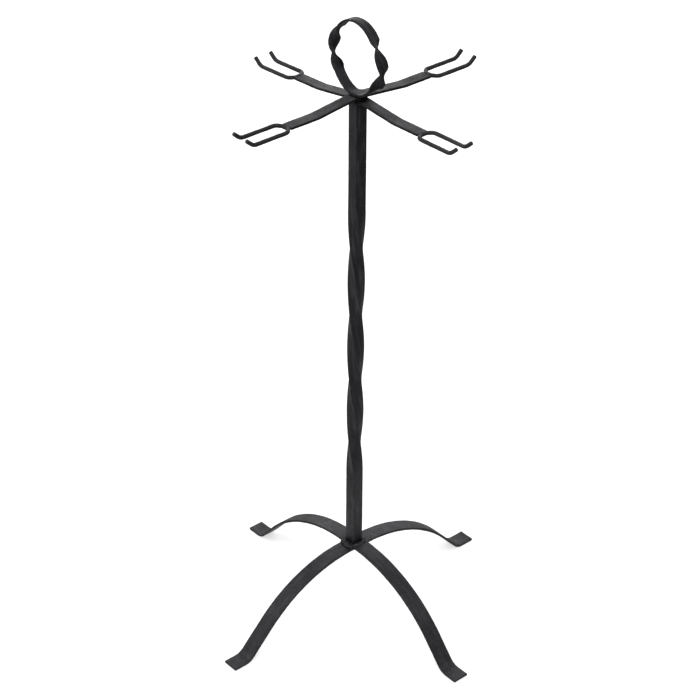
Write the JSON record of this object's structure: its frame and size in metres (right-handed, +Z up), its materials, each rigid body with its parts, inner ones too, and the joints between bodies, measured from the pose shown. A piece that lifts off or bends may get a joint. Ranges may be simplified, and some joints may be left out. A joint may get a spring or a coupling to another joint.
{
  "type": "fireplace tool stand",
  "caption": "Free-standing wrought-iron stand: a twisted square post on splayed arched feet, with level forks round its head for hanging tools and a twisted ring handle on top.",
  "frame": {"origin": "on the floor, below the axis of the post", "axes": "+Z up along the post; +X along the front right leg; +Y along the rear right leg; the ring stands within a few degrees of the XZ plane"},
  "size_m": [0.378, 0.378, 0.7557],
  "materials": {
    "iron_black": "satin black over forged iron, slightly uneven, with small worn chips",
    "weld_black": "satin black over a rough weld bead"
  },
  "bodies": {
    "root": {"post": "iron_black", "leg_bar_upper": "iron_black", "leg_bar_lower": "iron_black", "arm_bar_lower": "iron_black", "arm_bar_upper": "iron_black", "fork_front_right": "iron_black", "fork_rear_left": "iron_black", "fork_rear_right": "iron_black", "fork_front_left": "iron_black", "ring": "iron_black", "weld_post_foot": "weld_black", "weld_leg_crossing": "weld_black", "weld_post_head": "weld_black", "weld_arm_crossing": "weld_black", "weld_ring": "weld_black", "weld_fork_front_right": "weld_black", "weld_fork_rear_left": "weld_black", "weld_fork_rear_right": "weld_black", "weld_fork_front_left": "weld_black"}
  },
  "joints": []
}
